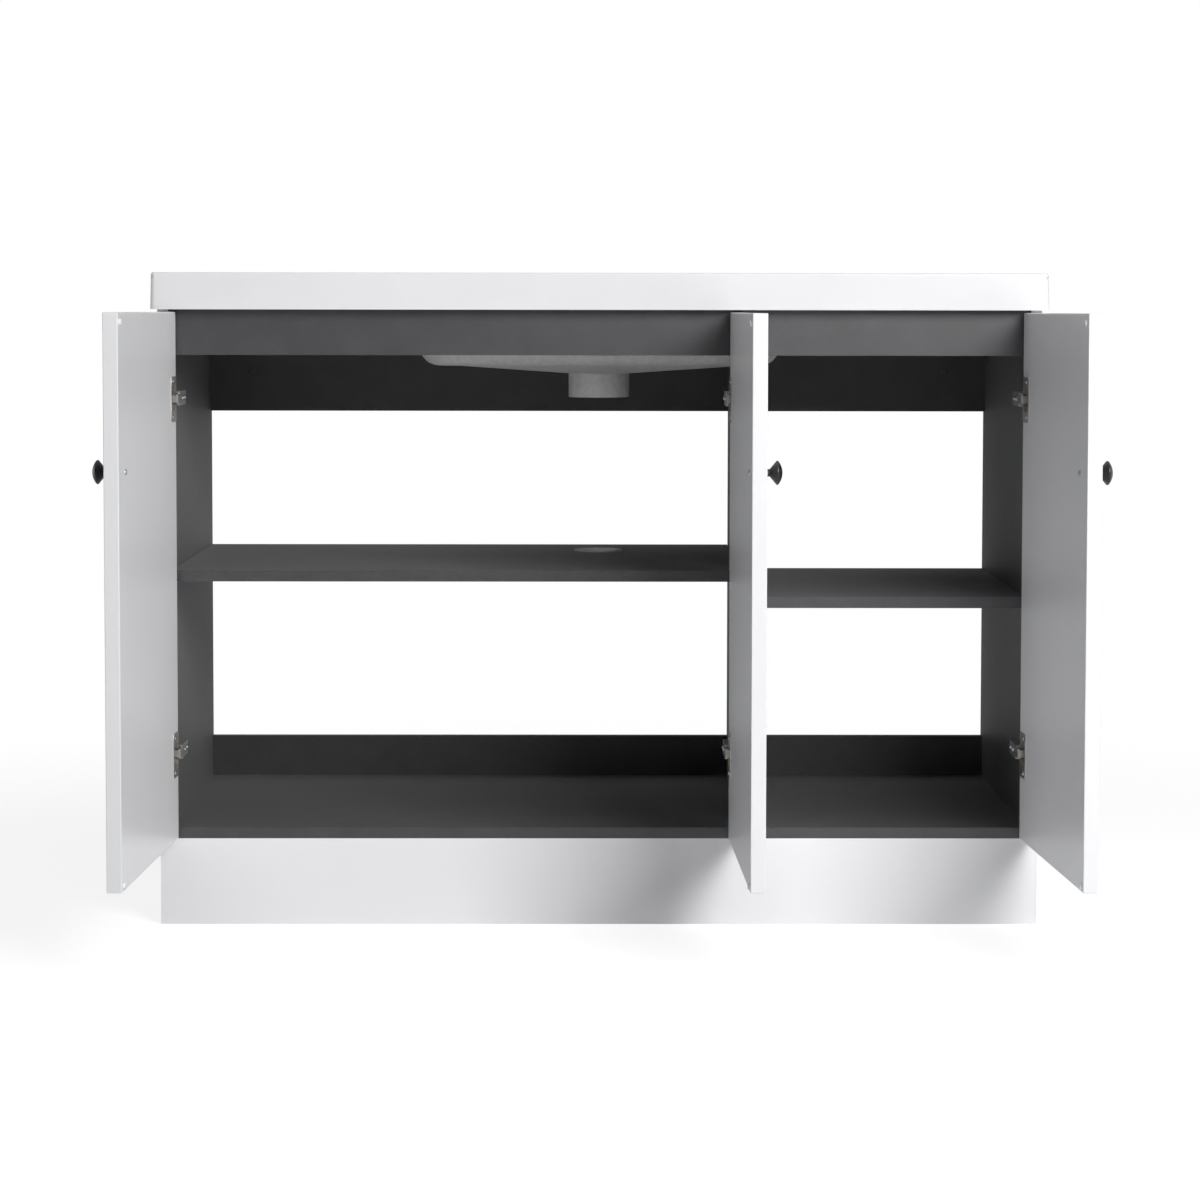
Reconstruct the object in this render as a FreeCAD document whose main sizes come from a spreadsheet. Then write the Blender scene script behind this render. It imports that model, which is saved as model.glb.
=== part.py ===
import FreeCAD, Part
import os
import Sketcher

# Sink base cabinet with three doors on concealed cup hinges and a moulded basin top.
# Frame: X to the right, Y from front to back, Z up. The origin is on the floor, midway
# along the front plane of the carcass. The doors are modelled standing open.

Vector = FreeCAD.Vector
Rotation = FreeCAD.Rotation
doc = FreeCAD.newDocument("SinkBaseCabinet")

# Driving dimensions in millimetres and degrees.
SIZES = {
    # carcass
    "body_width": 1206,
    "body_depth": 488,
    "body_height": 845,
    "panel": 15,
    "plinth_height": 119,
    "front_rail_height": 62,
    "back_top_rail_height": 154,
    "back_low_rail_height": 60,
    "wall_hole_radius": 3,
    "wall_hole_inset": 62,
    "wall_hole_drop": 93,
    # divider, behind the hinge edge of the middle door and cut away under the basin
    "middle_overlay": 1,
    "notch_play": 12,
    # shelves
    "shelf_left_top": 488,
    "shelf_right_top": 452,
    "shelf_setback": 3,
    "shelf_back_gap": 2,
    "shelf_play": 1,
    "pin_radius": 2.5,
    "pin_reach": 9,
    "pin_seat": 8,
    "pin_inset": 48,
    "pin_collar_radius": 4,
    "pin_collar": 0.8,
    # ring in the pipe hole
    "pipe_hole_setback": 359,
    "pipe_hole_radius": 31,
    "ring_flange_radius": 35.8,
    "ring_flange": 1.6,
    "ring_wall": 2,
    "ring_gap": 0.3,
    # knock-down fittings
    "dowel_radius": 4,
    "dowel_seat": 9,
    "dowel_reach": 19,
    "cam_radius": 7.5,
    "cam_depth": 12,
    "cam_setback": 24,
    "cam_slot": 2,
    "cam_slot_depth": 2,
    "cam_slot_length": 10,
    "bolt_radius": 3,
    "bolt_seat": 10,
    "floor_dowel_front": 60,
    "floor_dowel_back": 75,
    "floor_cam_front": 105,
    "floor_cam_back": 120,
    "divider_dowel_inset": 60,
    "plinth_dowel_spread": 54,
    "front_rail_dowel_rise": 15,
    "front_rail_cam_drop": 18,
    "back_rail_dowel_inset": 30,
    "back_rail_cam_drop": 78,
    # top with its basin
    "top_width": 1220,
    "top_overhang": 23,
    "top_edge": 50,
    "top_draft": 1.5,
    "top_skin": 14,
    "top_corner_radius": 7,
    "top_edge_radius": 3,
    "rim_side": 27,
    "rim_front": 41,
    "rim_back": 18,
    "bowl_width": 504,
    "bowl_length": 336,
    "bowl_centre": 225,
    "bowl_corner_radius": 62,
    "bowl_depth": 119,
    "bowl_taper": 6,
    "bowl_wall": 9,
    "bowl_floor_inset": 42,
    "bowl_floor_radius": 40,
    "hollow_radius": 12,
    "bowl_fillet": 22,
    "bowl_fall": 13,
    "bowl_lip_radius": 7,
    "boss_radius": 43.5,
    "boss_drop": 34,
    "drain_radius": 22.5,
    "drain_seat_radius": 31,
    "tap_hole_radius": 17.5,
    "tap_hole_setback": 436,
    # doors
    "door_thickness": 19,
    "door_edge_radius": 1.2,
    "door_top_gap": 3.5,
    "door_low_reveal": 1.5,
    "door_side_reveal": 4.4,
    "door_gap": 3,
    "door_standoff": 3,
    "left_open_angle": 92.7,
    "middle_open_angle": 91.2,
    "right_open_angle": 93.3,
    # knob
    "knob_radius": 15,
    "knob_projection": 22,
    "knob_neck_radius": 4.6,
    "knob_base_radius": 6.5,
    "knob_inset": 42,
    "knob_drop": 199,
    # bumpers
    "bumper_radius": 4,
    "bumper_gap": 0.3,
    "bumper_inset": 12,
    "bumper_rise": 7,
    # concealed hinges
    "hinge_inset": 118,
    "pivot_inset": 8.6,
    "pivot_depth": 12.5,
    "pivot_radius": 1,
    "knuckle_radius": 2.2,
    "knuckle_half_height": 5,
    "cup_radius": 17.5,
    "cup_wall": 0.8,
    "cup_centre": 20.5,
    "cup_depth": 15,
    "cup_rim_radius": 18.5,
    "flange": 1,
    "flange_width": 18,
    "flange_height": 61,
    "cup_screw_pitch": 48,
    "cup_screw_offset": 6,
    "web_offset": 15,
    "web": 2.5,
    "arm_height": 19,
    "arm_wall": 1.5,
    "arm_start": 1.5,
    "arm_end": 60,
    "arm_skirt": 9,
    "hook_half_height": 6.5,
    "hook_thickness": 2.8,
    "plate_setback": 37,
    "plate_width": 18,
    "plate_height": 46,
    "plate_thickness": 2,
    "plate_screw_pitch": 32,
    "block_start": 20,
    "block_length": 36,
    "lock_setback": 48,
    "trim_setback": 26,
    # screws
    "screw_radius": 1.9,
    "screw_head_radius": 3.8,
    "screw_head": 1.8,
    "screw_length": 12,
    "arm_screw_length": 8,
    "cross_width": 1,
    "cross_depth": 1,
    "knob_screw_radius": 2,
    "knob_screw_head_radius": 4.2,
    "fit": 0.1,
    # how far a cutting tool runs past the faces that it cuts
    "overcut": 1,
}

sheet = doc.addObject("Spreadsheet::Sheet", "Sizes")
for row, (alias, amount) in enumerate(SIZES.items(), 1):
    sheet.set(f"A{row}", alias)
    sheet.set(f"B{row}", str(amount))
    sheet.setAlias(f"B{row}", alias)
doc.recompute()


def size(alias):
    return f"Sizes.{alias}"


def number(expression):
    result = sheet.evalExpression(expression)
    return float(getattr(result, "Value", result))


def bind(item, **formulas):
    for name, formula in formulas.items():
        item.setExpression(name, formula)
    return item


def place(item, x="0", y="0", z="0", turn=None):
    item.Placement = FreeCAD.Placement(Vector(), turn or Rotation())
    for axis, formula in (("x", x), ("y", y), ("z", z)):
        item.setExpression(f".Placement.Base.{axis}", formula)
    return item


def box(name, x, y, z, length, width, height):
    item = doc.addObject("Part::Box", name)
    bind(item, Length=length, Width=width, Height=height)
    return place(item, x, y, z)


# Turns that bring a cylinder's own Z axis onto the named direction.
TURNS = {
    "+x": Rotation(Vector(0, 1, 0), 90),
    "-x": Rotation(Vector(0, 1, 0), -90),
    "+y": Rotation(Vector(1, 0, 0), -90),
    "-y": Rotation(Vector(1, 0, 0), 90),
    "+z": Rotation(),
    "-z": Rotation(Vector(1, 0, 0), 180),
}


def cylinder(name, radius, height, x, y, z, direction="+z"):
    item = doc.addObject("Part::Cylinder", name)
    bind(item, Radius=radius, Height=height)
    return place(item, x, y, z, TURNS[direction])


def cone(name, radius_low, radius_high, height, z="0"):
    item = doc.addObject("Part::Cone", name)
    bind(item, Radius1=radius_low, Radius2=radius_high, Height=height)
    return place(item, "0", "0", z)


def compound(name, items):
    item = doc.addObject("Part::Compound", name)
    item.Links = items
    return item


def fuse(name, items):
    item = doc.addObject("Part::MultiFuse", name)
    item.Shapes = items
    return item


def cut(name, base, tools):
    item = doc.addObject("Part::Cut", name)
    item.Base = base
    item.Tool = tools[0] if len(tools) == 1 else compound(f"{name}_tools", tools)
    return item


def mirrored(hand, start, length, origin="0"):
    """Lowest coordinate of a span that runs from origin + hand * start."""
    if hand > 0:
        return f"({origin}) + ({start})"
    return f"({origin}) - ({start}) - ({length})"


def along(hand, start, origin="0"):
    return f"({origin}) {'+' if hand > 0 else '-'} ({start})"


# Planes and spans that several pieces share.
HALF_WIDTH = "Sizes.body_width / 2"
INNER_HALF = "(Sizes.body_width / 2 - Sizes.panel)"
FLOOR_PANEL_TOP = "(Sizes.plinth_height + Sizes.panel)"
REAR_RAIL_FRONT = "(Sizes.body_depth - Sizes.panel)"
DOOR_WIDTH = "((Sizes.body_width - 2 * Sizes.door_side_reveal - 2 * Sizes.door_gap) / 3)"
DOOR_EDGE = "(Sizes.body_width / 2 - Sizes.door_side_reveal)"
MIDDLE_EDGE = f"({DOOR_EDGE} - {DOOR_WIDTH} - Sizes.door_gap)"
DIVIDER_LEFT = f"({MIDDLE_EDGE} - Sizes.middle_overlay)"
DIVIDER_RIGHT = f"({DIVIDER_LEFT} + Sizes.panel)"
SHELF_DEPTH = f"({REAR_RAIL_FRONT} - Sizes.shelf_setback - Sizes.shelf_back_gap)"
HALF_PANEL = "Sizes.panel / 2"
THROUGH_PANEL = "Sizes.panel + 2 * Sizes.overcut"
TOP_FACE = "(Sizes.body_height + Sizes.top_edge)"
BOWL_REACH = "(Sizes.bowl_length / 2 + Sizes.bowl_wall)"
BOWL_LOW = f"({TOP_FACE} - Sizes.bowl_depth - Sizes.bowl_wall)"
BASIN_LOW = f"({BOWL_LOW} - Sizes.bowl_fall)"

pieces = {}
holes = {}


def piece(name, item):
    pieces[name] = item
    return item


def drill(board, tool):
    holes.setdefault(board, []).append(tool)


# ---- carcass boards ----

boards = {}


def board(name, x, y, z, length, width, height):
    boards[name] = box(f"{name}_blank", x, y, z, length, width, height)


board("side_panel_left", f"-{HALF_WIDTH}", "0", "0", size("panel"), size("body_depth"), size("body_height"))
board("side_panel_right", INNER_HALF, "0", "0", size("panel"), size("body_depth"), size("body_height"))
board("bottom_panel", f"-{INNER_HALF}", "0", size("plinth_height"),
      f"2 * {INNER_HALF}", size("body_depth"), size("panel"))
board("plinth_board", f"-{INNER_HALF}", "0", "0", f"2 * {INNER_HALF}", size("panel"), size("plinth_height"))
board("front_top_rail", f"-{INNER_HALF}", "0", "Sizes.body_height - Sizes.front_rail_height",
      f"2 * {INNER_HALF}", size("panel"), size("front_rail_height"))
board("back_top_rail", f"-{INNER_HALF}", REAR_RAIL_FRONT, "Sizes.body_height - Sizes.back_top_rail_height",
      f"2 * {INNER_HALF}", size("panel"), size("back_top_rail_height"))
board("back_low_rail", f"-{INNER_HALF}", REAR_RAIL_FRONT, FLOOR_PANEL_TOP,
      f"2 * {INNER_HALF}", size("panel"), size("back_low_rail_height"))
board("divider_panel", DIVIDER_LEFT, "0", FLOOR_PANEL_TOP,
      size("panel"), REAR_RAIL_FRONT, f"Sizes.body_height - {FLOOR_PANEL_TOP}")

drill("divider_panel", box("basin_notch", f"{DIVIDER_LEFT} - Sizes.overcut",
                           f"Sizes.bowl_centre - {BOWL_REACH} - Sizes.notch_play",
                           f"{BASIN_LOW} - Sizes.notch_play", THROUGH_PANEL,
                           f"2 * ({BOWL_REACH} + Sizes.notch_play)",
                           f"Sizes.body_height - {BASIN_LOW} + Sizes.notch_play + Sizes.overcut"))
drill("divider_panel", box("rail_notch", f"{DIVIDER_LEFT} - Sizes.overcut", "-1 * Sizes.overcut",
                           "Sizes.body_height - Sizes.front_rail_height", THROUGH_PANEL,
                           "Sizes.panel + Sizes.overcut", "Sizes.front_rail_height + Sizes.overcut"))

for side in (-1, 1):
    drill("back_top_rail", cylinder("wall_fixing", size("wall_hole_radius"), THROUGH_PANEL,
                                    along(side, f"{INNER_HALF} - Sizes.wall_hole_inset"),
                                    f"{REAR_RAIL_FRONT} - Sizes.overcut",
                                    "Sizes.body_height - Sizes.wall_hole_drop", "+y"))

# ---- shelves on pins, and the ring in the pipe hole ----


def shelf(name, left, right, top):
    low = f"{top} - Sizes.panel"
    boards[name] = box(f"{name}_blank", f"{left} + Sizes.shelf_play", size("shelf_setback"), low,
                       f"{right} - {left} - 2 * Sizes.shelf_play", SHELF_DEPTH, size("panel"))
    front = "Sizes.shelf_setback + Sizes.pin_inset"
    back = f"Sizes.shelf_setback + {SHELF_DEPTH} - Sizes.pin_inset"
    level = f"{top} - Sizes.panel - Sizes.pin_radius"
    pins = []
    for wall, face, hand in ((shelf_walls[name][0], left, 1), (shelf_walls[name][1], right, -1)):
        outward = "-x" if hand > 0 else "+x"
        for setback in (front, back):
            pin = cylinder("pin", size("pin_radius"), "Sizes.pin_seat + Sizes.pin_reach",
                           along(hand, "Sizes.pin_reach", face), setback, level, outward)
            collar = cylinder("collar", size("pin_collar_radius"), size("pin_collar"),
                              along(hand, "Sizes.pin_collar", face), setback, level, outward)
            # the shelf rests on the pin and clears its collar
            relief = box("collar_relief", mirrored(hand, "0", "Sizes.pin_collar + Sizes.overcut", face),
                         f"{setback} - Sizes.pin_collar_radius - Sizes.overcut", level,
                         "Sizes.pin_collar + Sizes.overcut",
                         "2 * (Sizes.pin_collar_radius + Sizes.overcut)",
                         "Sizes.pin_radius + Sizes.pin_collar_radius")
            drill(name, relief)
            pins.append(fuse("shelf_pin", [pin, collar]))
            drill(wall, cylinder("pin_hole", size("pin_radius"), "Sizes.pin_seat + Sizes.overcut",
                                 along(hand, size("overcut"), face), setback, level, outward))
    piece(name.replace("shelf", "shelf_pins"), compound(f"{name}_pins", pins))


shelf_walls = {
    "shelf_left": ("side_panel_left", "divider_panel"),
    "shelf_right": ("divider_panel", "side_panel_right"),
}
shelf("shelf_left", f"(-{INNER_HALF})", DIVIDER_LEFT, size("shelf_left_top"))
shelf("shelf_right", DIVIDER_RIGHT, INNER_HALF, size("shelf_right_top"))

drill("shelf_left", cylinder("pipe_hole", size("pipe_hole_radius"), THROUGH_PANEL, "0",
                             size("pipe_hole_setback"),
                             "Sizes.shelf_left_top - Sizes.panel - Sizes.overcut"))
ring_sleeve = cylinder("ring_sleeve", "Sizes.pipe_hole_radius - Sizes.ring_gap", size("panel"),
                       "0", size("pipe_hole_setback"), "Sizes.shelf_left_top - Sizes.panel")
ring_flange = cylinder("ring_flange", size("ring_flange_radius"), size("ring_flange"),
                       "0", size("pipe_hole_setback"), size("shelf_left_top"))
ring_bore = cylinder("ring_bore", "Sizes.pipe_hole_radius - Sizes.ring_gap - Sizes.ring_wall",
                     f"{THROUGH_PANEL} + Sizes.ring_flange", "0", size("pipe_hole_setback"),
                     "Sizes.shelf_left_top - Sizes.panel - Sizes.overcut")
piece("pipe_grommet", cut("pipe_grommet", fuse("ring_solid", [ring_sleeve, ring_flange]), [ring_bore]))

# ---- knock-down fittings in the joints ----

dowels = []
bolts = []
cams = []


def dowel(wall, member, direction, x, y, z):
    """A wooden dowel across a joint; direction points from the wall into the member."""
    reach = size("dowel_reach")
    seat = size("dowel_seat")
    shift = {"+x": (f"{x} - {seat}", y, z), "-x": (f"{x} + {seat}", y, z), "+z": (x, y, f"{z} - {seat}")}
    start = shift[direction]
    dowels.append(cylinder("dowel", size("dowel_radius"), f"{seat} + {reach}", *start, direction))
    bore = cylinder("dowel_bore", size("dowel_radius"), f"{seat} + {reach}", *start, direction)
    drill(wall, bore)
    drill(member, bore)


def cam(wall, member, hand, y, z, face, face_level):
    """A cam housing let into one face of the member, with its bolt in the wall."""
    joint = along(-hand, INNER_HALF)
    direction = "+x" if hand > 0 else "-x"
    start = along(-hand, "Sizes.bolt_seat", joint)
    length = "Sizes.bolt_seat + Sizes.cam_setback - Sizes.cam_radius - Sizes.fit"
    bolts.append(cylinder("bolt", size("bolt_radius"), length, start, y, z, direction))
    bore = cylinder("bolt_bore", size("bolt_radius"), "Sizes.bolt_seat + Sizes.cam_setback",
                    start, y, z, direction)
    drill(wall, bore)
    drill(member, bore)
    centre = along(hand, "Sizes.cam_setback", joint)
    spot = (centre, y, face_level) if face == "+z" else (centre, face_level, z)
    drum = cylinder("cam", size("cam_radius"), size("cam_depth"), *spot, face)
    slot_start = f"{centre} - Sizes.cam_slot_length / 2"
    inward = "0" if face[0] == "+" else "-1 * Sizes.cam_slot_depth"
    if face == "+z":
        slot = box("cam_slot", slot_start, f"{y} - Sizes.cam_slot / 2", face_level,
                   size("cam_slot_length"), size("cam_slot"), size("cam_slot_depth"))
    else:
        slot = box("cam_slot", slot_start, f"{face_level} + {inward}", f"{z} - Sizes.cam_slot / 2",
                   size("cam_slot_length"), size("cam_slot_depth"), size("cam_slot"))
    cams.append(cut("cam_housing", drum, [slot]))
    drill(member, cylinder("cam_pocket", size("cam_radius"), size("cam_depth"), *spot, face))


for wall, hand in (("side_panel_left", 1), ("side_panel_right", -1)):
    joint = along(-hand, INNER_HALF)
    direction = "+x" if hand > 0 else "-x"
    floor_mid = "Sizes.plinth_height + Sizes.panel / 2"
    rear_mid = "Sizes.body_depth - Sizes.panel / 2"
    front_rail_low = "Sizes.body_height - Sizes.front_rail_height"
    back_rail_low = "Sizes.body_height - Sizes.back_top_rail_height"
    for y in (size("floor_dowel_front"), "Sizes.body_depth - Sizes.floor_dowel_back"):
        dowel(wall, "bottom_panel", direction, joint, y, floor_mid)
    for y in (size("floor_cam_front"), "Sizes.body_depth - Sizes.floor_cam_back"):
        cam(wall, "bottom_panel", hand, y, floor_mid, "+z", size("plinth_height"))
    for side in (-1, 1):
        dowel(wall, "plinth_board", direction, joint, HALF_PANEL,
              along(side, "Sizes.plinth_dowel_spread / 2", "Sizes.plinth_height / 2"))
    dowel(wall, "front_top_rail", direction, joint, HALF_PANEL,
          f"{front_rail_low} + Sizes.front_rail_dowel_rise")
    cam(wall, "front_top_rail", hand, HALF_PANEL, "Sizes.body_height - Sizes.front_rail_cam_drop",
        "-y", size("panel"))
    for z in ("Sizes.body_height - Sizes.back_rail_dowel_inset",
              f"{back_rail_low} + Sizes.back_rail_dowel_inset"):
        dowel(wall, "back_top_rail", direction, joint, rear_mid, z)
    cam(wall, "back_top_rail", hand, rear_mid, "Sizes.body_height - Sizes.back_rail_cam_drop",
        "+y", REAR_RAIL_FRONT)
    dowel(wall, "back_low_rail", direction, joint, rear_mid,
          f"{FLOOR_PANEL_TOP} + Sizes.back_low_rail_height / 2")
for y in (size("divider_dowel_inset"), f"{REAR_RAIL_FRONT} - Sizes.divider_dowel_inset"):
    dowel("bottom_panel", "divider_panel", "+z", f"{DIVIDER_LEFT} + {HALF_PANEL}", y, FLOOR_PANEL_TOP)

piece("wood_dowels", compound("wood_dowels", dowels))
piece("cam_bolts", compound("cam_bolts", bolts))
piece("cam_housings", compound("cam_housings", cams))

# ---- screws ----


def screw(name, radius, length, head_radius, head, direction, x, y, z):
    """A pan-head screw; direction points out of its head, and the point is under the head."""
    shank = cylinder("shank", radius, length, "0", "0", f"-({length})")
    cap = cone("cap", head_radius, f"0.7 * {head_radius}", head)
    solid = fuse("screw_blank", [shank, cap])
    reach = f"0.55 * {head_radius}"
    recess = [
        box("cross", f"-{reach}", "-Sizes.cross_width / 2", f"{head} - Sizes.cross_depth",
            f"2 * {reach}", size("cross_width"), size("cross_depth")),
        box("cross", "-Sizes.cross_width / 2", f"-{reach}", f"{head} - Sizes.cross_depth",
            size("cross_width"), f"2 * {reach}", size("cross_depth")),
    ]
    return place(cut(name, solid, [fuse("recess", recess)]), x, y, z, TURNS[direction])


# ---- hinges: mounting plate and hooked arm, fixed to a panel ----

DOOR_LOW = "(Sizes.plinth_height + Sizes.door_low_reveal)"
DOOR_TOP = "(Sizes.body_height - Sizes.door_top_gap)"
PIVOT_Y = "(0 - Sizes.door_standoff - Sizes.pivot_depth)"

DOORS = {
    "left": {
        "hand": 1,
        "panel": "side_panel_left",
        "face": f"(-{INNER_HALF})",
        "edge": f"(-{DOOR_EDGE})",
        "opening": size("left_open_angle"),
    },
    "middle": {
        "hand": -1,
        "panel": "divider_panel",
        "face": DIVIDER_LEFT,
        "edge": MIDDLE_EDGE,
        "opening": size("middle_open_angle"),
    },
    "right": {
        "hand": -1,
        "panel": "side_panel_right",
        "face": INNER_HALF,
        "edge": DOOR_EDGE,
        "opening": size("right_open_angle"),
    },
}
LEVELS = {
    "upper": f"({DOOR_TOP} - Sizes.hinge_inset)",
    "lower": f"({DOOR_LOW} + Sizes.hinge_inset)",
}

plate_screws = []
arm_screws = []


def fixed_hinge(door, level, z):
    spec = DOORS[door]
    hand = spec["hand"]
    face = spec["face"]
    name = f"{door}_{level}"
    into = "+x" if hand > 0 else "-x"
    # rise: from the panel's face to the pivot, and to the underside of the web
    rise = f"({'' if hand > 0 else '-1 * '}({spec['edge']} - {face}) + Sizes.pivot_inset)"
    web_low = f"({rise} + Sizes.web_offset)"
    web_high = f"({web_low} + Sizes.web)"

    def slab(label, start, thick, y, depth, half, low=None):
        base = low or f"{z} - {half}"
        return box(label, mirrored(hand, start, thick, face), y, base, thick, depth, f"2 * {half}")

    wings = slab("plate_wings", "0", size("plate_thickness"),
                 "Sizes.plate_setback - Sizes.plate_width / 2", size("plate_width"),
                 "Sizes.plate_height / 2")
    block = slab("plate_block", "0", web_low, size("block_start"), size("block_length"),
                 "(Sizes.arm_height / 2 - Sizes.arm_wall - Sizes.fit)")
    plate_bores = []
    for side in (-1, 1):
        spot = (size("plate_setback"), along(side, "Sizes.plate_screw_pitch / 2", z))
        plate_bores.append(cylinder("wing_bore", size("screw_radius"),
                                    "Sizes.plate_thickness + 2 * Sizes.overcut",
                                    along(hand, "-1 * Sizes.overcut", face), *spot, into))
        drill(spec["panel"], cylinder("screw_bore", size("screw_radius"), size("screw_length"),
                                      along(hand, "Sizes.plate_thickness - Sizes.screw_length", face),
                                      *spot, into))
        plate_screws.append(screw(f"plate_screw_{name}", size("screw_radius"), size("screw_length"),
                                  size("screw_head_radius"), size("screw_head"), into,
                                  along(hand, "Sizes.plate_thickness", face), *spot))
    arm_bores = []
    for setback in (size("lock_setback"), size("trim_setback")):
        plate_bores.append(cylinder("block_bore", size("screw_radius"), "Sizes.arm_screw_length",
                                    along(hand, f"{web_high} - Sizes.arm_screw_length", face),
                                    setback, z, into))
        arm_bores.append(cylinder("web_bore", size("screw_radius"), "Sizes.web + 2 * Sizes.overcut",
                                  along(hand, f"{web_low} - Sizes.overcut", face), setback, z, into))
        arm_screws.append(screw(f"arm_screw_{name}", size("screw_radius"), size("arm_screw_length"),
                                size("screw_head_radius"), size("screw_head"), into,
                                along(hand, web_high, face), setback, z))
    piece(f"hinge_plate_{name}", cut(f"plate_{name}", fuse("plate_blank", [wings, block]), plate_bores))

    web = slab("arm_web", web_low, size("web"), size("arm_start"), "Sizes.arm_end - Sizes.arm_start",
               "Sizes.arm_height / 2")
    skirts = [
        slab("arm_skirt", f"{web_low} - Sizes.arm_skirt", "Sizes.arm_skirt + Sizes.web / 2",
             size("arm_start"), "Sizes.arm_end - Sizes.arm_start", "Sizes.arm_wall / 2",
             along(side, "(Sizes.arm_height - Sizes.arm_wall) / 2", z) + " - Sizes.arm_wall / 2")
        for side in (-1, 1)
    ]
    tip_y = f"({PIVOT_Y} - Sizes.knuckle_radius)"
    neck = slab("arm_neck", web_low, size("web"), tip_y, f"Sizes.arm_start + Sizes.overcut - {tip_y}",
                "Sizes.hook_half_height")
    hook = slab("arm_hook", rise, "Sizes.web_offset + Sizes.web / 2", tip_y, size("hook_thickness"),
                "Sizes.knuckle_half_height")
    knuckle = cylinder("knuckle", size("knuckle_radius"), "2 * Sizes.knuckle_half_height",
                       along(hand, rise, face), PIVOT_Y, f"{z} - Sizes.knuckle_half_height")
    arm_bores.append(cylinder("pivot_bore", "Sizes.pivot_radius + Sizes.fit / 2",
                              "2 * (Sizes.knuckle_half_height + Sizes.overcut)",
                              along(hand, rise, face), PIVOT_Y,
                              f"{z} - Sizes.knuckle_half_height - Sizes.overcut"))
    piece(f"hinge_arm_{name}",
          cut(f"arm_{name}", fuse("arm_blank", [web, neck, hook, knuckle, *skirts]), arm_bores))


for door in DOORS:
    for level, z in LEVELS.items():
        fixed_hinge(door, level, z)
piece("plate_screws", compound("plate_screws", plate_screws))
piece("arm_screws", compound("arm_screws", arm_screws))

# ---- doors, each built about its pivot axis and then swung open ----


def swing(door, item):
    spec = DOORS[door]
    item.Placement = FreeCAD.Placement(Vector(), Rotation(Vector(0, 0, 1), 45))
    item.setExpression(".Placement.Base.x", along(spec["hand"], "Sizes.pivot_inset", spec["edge"]))
    item.setExpression(".Placement.Base.y", PIVOT_Y)
    turn = "-1 * " if spec["hand"] > 0 else ""
    item.setExpression(".Placement.Rotation.Angle", f"{turn}{spec['opening']}")
    return item


def knob_profile(body):
    """Half section of the knob: X is the radius, Y the distance from the door."""
    sketch = body.newObject("Sketcher::SketchObject", "knob_section")
    sketch.AttachmentSupport = [(origin_plane(body, "XY_Plane"), "")]
    sketch.MapMode = "FlatFace"
    reach = number(size("knob_projection"))
    wide = number(size("knob_radius"))
    neck = number(size("knob_neck_radius"))
    foot = number(size("knob_base_radius"))
    bore = number("Sizes.knob_screw_radius")
    bore_end = 0.62 * reach
    low = Vector(neck, 0.2 * reach)
    flare = Vector(neck, 0.27 * reach)
    brim = Vector(wide, 0.66 * reach)
    points = [Vector(bore, 0), Vector(foot, 0), low, flare, brim]
    for start, end in zip(points, points[1:]):
        sketch.addGeometry(Part.LineSegment(start, end), False)
    # a rolled shoulder, then a shallow dome that is part of a sphere
    shoulder = Vector(0.9 * wide, 0.8 * reach)
    roll = Vector(0.985 * wide, 0.75 * reach)
    sketch.addGeometry(Part.Arc(brim, roll, shoulder), False)
    rise = reach - shoulder.y
    sphere = (shoulder.x ** 2 + rise ** 2) / (2 * rise)
    crown = Vector(0, reach)
    middle = shoulder.x / 2
    bulge = Vector(middle, reach - sphere + (sphere ** 2 - middle ** 2) ** 0.5)
    sketch.addGeometry(Part.Arc(shoulder, bulge, crown), False)
    sketch.addGeometry(Part.LineSegment(crown, Vector(0, bore_end)), False)
    sketch.addGeometry(Part.LineSegment(Vector(0, bore_end), Vector(bore, bore_end)), False)
    sketch.addGeometry(Part.LineSegment(Vector(bore, bore_end), Vector(bore, 0)), False)
    return sketch


def origin_plane(body, role):
    return [item for item in body.Origin.OriginFeatures if item.Role == role][0]


def knob(door):
    body = doc.addObject("PartDesign::Body", f"knob_body_{door}")
    section = knob_profile(body)
    turned = body.newObject("PartDesign::Revolution", "knob_turned")
    turned.Profile = section
    turned.ReferenceAxis = (section, ["V_Axis"])
    turned.Angle = 360
    return body


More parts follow.
